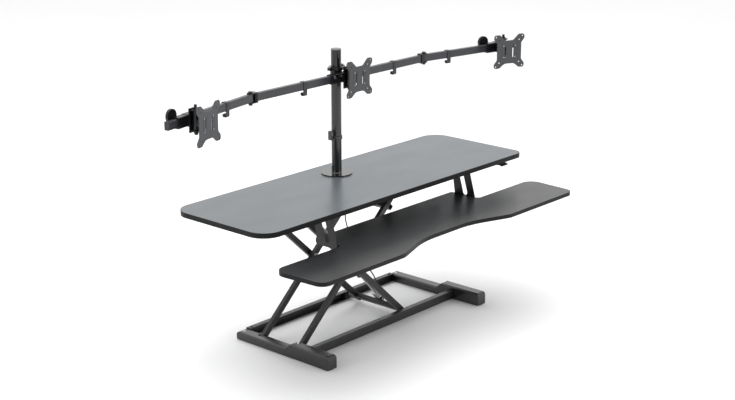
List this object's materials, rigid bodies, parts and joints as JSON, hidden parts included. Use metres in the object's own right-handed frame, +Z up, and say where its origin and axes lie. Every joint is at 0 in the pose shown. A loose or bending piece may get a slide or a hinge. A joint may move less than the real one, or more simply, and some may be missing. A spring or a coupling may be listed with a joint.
{
  "type": "standing desk converter",
  "caption": "Height-adjustable desktop riser on a single scissor frame, with a keyboard tray below and a pole-mounted triple monitor arm with square-pattern plates.",
  "frame": {"origin": "middle of the footprint, on the surface it stands on, at the height of the rubber pads' undersides", "axes": "+Z up, -Y towards the user, +X to the user's right"},
  "size_m": [1.5544, 0.59, 0.861],
  "materials": {
    "moulded_cover": "satin black moulding",
    "pad_rubber": "soft matt",
    "frame_paint": "fine textured powder coat",
    "arm_paint": "fine textured powder coat",
    "zinc_steel": "zinc plated",
    "slide_nylon": "matt",
    "spring_black": "gloss black",
    "polished_rod": "polished",
    "head_alloy": "cast",
    "board_laminate": "satin dark laminate on wood board",
    "edge_plastic": "satin edging",
    "lever_plastic": "satin",
    "cable_jacket": "satin jacket",
    "pole_gloss": "gloss black",
    "cap_grey": "matt grey moulding",
    "mount_black": "semi-gloss black",
    "tube_slate": "satin slate grey",
    "head_black": "semi-gloss black",
    "plate_grey": "satin dark grey"
  },
  "bodies": {
    "base": {"left_foot": "moulded_cover", "right_foot": "moulded_cover", "foot_pads": "pad_rubber", "front_crossbar": "frame_paint", "rear_crossbar": "frame_paint", "foot_screws": "zinc_steel", "lower_pivot_brackets": "frame_paint", "lower_pivot_pins": "zinc_steel"},
    "inner_arms": {"inner_arm_front": "arm_paint", "inner_arm_rear": "arm_paint", "inner_arm_tie": "arm_paint", "inner_arm_pins": "zinc_steel"},
    "outer_arms": {"outer_arm_front": "arm_paint", "outer_arm_rear": "arm_paint", "outer_arm_tie": "arm_paint", "outer_arm_pins": "zinc_steel"},
    "top": {"desktop_board": "board_laminate", "edge_bands": "edge_plastic", "top_rails": "frame_paint", "top_frame_lugs": "frame_paint", "top_frame_pins": "zinc_steel", "tray_board": "board_laminate", "tray_brackets": "frame_paint", "tray_screws": "zinc_steel", "lever_housing": "frame_paint", "release_cable": "cable_jacket", "pole_base_disc": "pole_gloss", "pole": "pole_gloss", "pole_cap": "cap_grey", "pole_fixing_bolt": "zinc_steel", "pole_cable_clip": "moulded_cover"},
    "lower_shoes": {"lower_slide_shoes": "slide_nylon"},
    "upper_shoes": {"upper_slide_shoes": "slide_nylon"},
    "spring_cylinder": {"gas_spring_cylinder": "spring_black"},
    "spring_rod": {"gas_spring_rod": "polished_rod", "release_head": "head_alloy"},
    "lever": {"release_lever": "lever_plastic"},
    "mount_beam": {"pole_collar": "mount_black", "centre_bracket": "mount_black", "bracket_bolts": "zinc_steel", "inner_tubes": "tube_slate", "hinge_forks": "mount_black", "hinge_bolts": "zinc_steel", "inner_tube_clips": "cap_grey", "centre_carriage": "head_black"},
    "left_outer_arm": {"left_outer_tube": "tube_slate", "left_tube_trim": "cap_grey"},
    "right_outer_arm": {"right_outer_tube": "tube_slate", "right_tube_trim": "cap_grey"},
    "left_carriage_body": {"left_carriage": "head_black"},
    "right_carriage_body": {"right_carriage": "head_black"},
    "left_swivel": {"left_swivel_knuckle": "head_black"},
    "left_tilt": {"left_tilt_head": "head_black"},
    "left_plate": {"left_vesa_plate": "plate_grey"},
    "centre_swivel": {"centre_swivel_knuckle": "head_black"},
    "centre_tilt": {"centre_tilt_head": "head_black"},
    "centre_plate": {"centre_vesa_plate": "plate_grey"},
    "right_swivel": {"right_swivel_knuckle": "head_black"},
    "right_tilt": {"right_tilt_head": "head_black"},
    "right_plate": {"right_vesa_plate": "plate_grey"}
  },
  "joints": [
    {"name": "lift", "type": "hinge", "parent": "base", "child": "inner_arms", "pos_m": [-0.345, 0.116, 0.0155], "axis": [0, -1, 0], "range_deg": [-32.5, 5.6], "deforming": ["release_cable"]},
    {"name": "scissor", "type": "hinge", "parent": "inner_arms", "child": "outer_arms", "pos_m": [-0.11495, 0.116, 0.227], "axis": [0, -1, 0], "range_deg": [-11.4, 65.2]},
    {"name": "top_pivot", "type": "hinge", "parent": "outer_arms", "child": "top", "pos_m": [-0.345, 0.116, 0.4385], "axis": [0, -1, 0], "range_deg": [-32.7, 5.8]},
    {"name": "lower_shoe_pivot", "type": "hinge", "parent": "outer_arms", "child": "lower_shoes", "pos_m": [0.1151, 0.116, 0.0155], "axis": [0, -1, 0], "range_deg": [-32.7, 5.8]},
    {"name": "upper_shoe_pivot", "type": "hinge", "parent": "inner_arms", "child": "upper_shoes", "pos_m": [0.1151, 0.116, 0.4385], "axis": [0, -1, 0], "range_deg": [-5.8, 32.7]},
    {"name": "spring_upper_pivot", "type": "hinge", "parent": "top", "child": "spring_cylinder", "pos_m": [-0.25, 0.116, 0.43], "axis": [0, -1, 0], "range_deg": [-6.7, 37.9]},
    {"name": "spring_lower_pivot", "type": "hinge", "parent": "outer_arms", "child": "spring_rod", "pos_m": [0.11274, 0.116, 0.03805], "axis": [0, -1, 0], "range_deg": [-1.1, 5.4]},
    {"name": "release_squeeze", "type": "hinge", "parent": "top", "child": "lever", "pos_m": [0.505, -0.034, 0.44], "axis": [-1, 0, 0], "range_deg": [0, 6], "stiffness_Nm_per_rad": 0.6, "springref_deg": -20.05},
    {"name": "mount_height", "type": "slide", "parent": "top", "child": "mount_beam", "axis": [0, 0, 1], "range_m": [-0.15, 0.04]},
    {"name": "left_arm_swing", "type": "hinge", "parent": "mount_beam", "child": "left_outer_arm", "pos_m": [-0.392, 0.173, 0.777], "axis": [0, 0, 1], "range_deg": [-20, 60]},
    {"name": "right_arm_swing", "type": "hinge", "parent": "mount_beam", "child": "right_outer_arm", "pos_m": [0.392, 0.173, 0.777], "axis": [0, 0, -1], "range_deg": [-20, 60]},
    {"name": "left_carriage_slide", "type": "slide", "parent": "left_outer_arm", "child": "left_carriage_body", "axis": [-0.9816, -0.1908, 0], "range_m": [-0.13, 0.035]},
    {"name": "right_carriage_slide", "type": "slide", "parent": "right_outer_arm", "child": "right_carriage_body", "axis": [0.9816, -0.1908, 0], "range_m": [-0.13, 0.045]},
    {"name": "left_swivel_turn", "type": "hinge", "parent": "left_carriage_body", "child": "left_swivel", "pos_m": [-0.6776, 0.091, 0.777], "axis": [0, 0, 1], "range_deg": [-25, 25]},
    {"name": "left_tilt_turn", "type": "hinge", "parent": "left_swivel", "child": "left_tilt", "pos_m": [-0.67288, 0.0726, 0.771], "axis": [0.9686, 0.2487, 0], "range_deg": [-15, 15]},
    {"name": "left_plate_turn", "type": "hinge", "parent": "left_tilt", "child": "left_plate", "pos_m": [-0.66716, 0.05032, 0.771], "axis": [0.2487, -0.9686, 0], "range_deg": [-90, 90]},
    {"name": "centre_swivel_turn", "type": "hinge", "parent": "mount_beam", "child": "centre_swivel", "pos_m": [0.006, 0.1485, 0.777], "axis": [0, 0, 1], "range_deg": [-25, 25]},
    {"name": "centre_tilt_turn", "type": "hinge", "parent": "centre_swivel", "child": "centre_tilt", "pos_m": [0.006, 0.1295, 0.781], "axis": [1, 0, 0], "range_deg": [-15, 15]},
    {"name": "centre_plate_turn", "type": "hinge", "parent": "centre_tilt", "child": "centre_plate", "pos_m": [0.006, 0.1065, 0.781], "axis": [0, -1, 0], "range_deg": [-90, 90]},
    {"name": "right_swivel_turn", "type": "hinge", "parent": "right_carriage_body", "child": "right_swivel", "pos_m": [0.70509, 0.08566, 0.777], "axis": [0, 0, 1], "range_deg": [-25, 25]},
    {"name": "right_tilt_turn", "type": "hinge", "parent": "right_swivel", "child": "right_tilt", "pos_m": [0.69742, 0.06827, 0.771], "axis": [0.915, -0.4035, 0], "range_deg": [-15, 15]},
    {"name": "right_plate_turn", "type": "hinge", "parent": "right_tilt", "child": "right_plate", "pos_m": [0.68814, 0.04723, 0.771], "axis": [-0.4035, -0.915, 0], "range_deg": [-90, 90]}
  ],
  "couplings": [
    {"joint": "scissor", "follows": "lift", "ratio": -2},
    {"joint": "top_pivot", "follows": "lift", "ratio": 1},
    {"joint": "lower_shoe_pivot", "follows": "lift", "ratio": 1},
    {"joint": "upper_shoe_pivot", "follows": "lift", "ratio": -1},
    {"joint": "spring_upper_pivot", "follows": "lift", "ratio": -1.16},
    {"joint": "spring_lower_pivot", "follows": "lift", "ratio": -0.16}
  ]
}
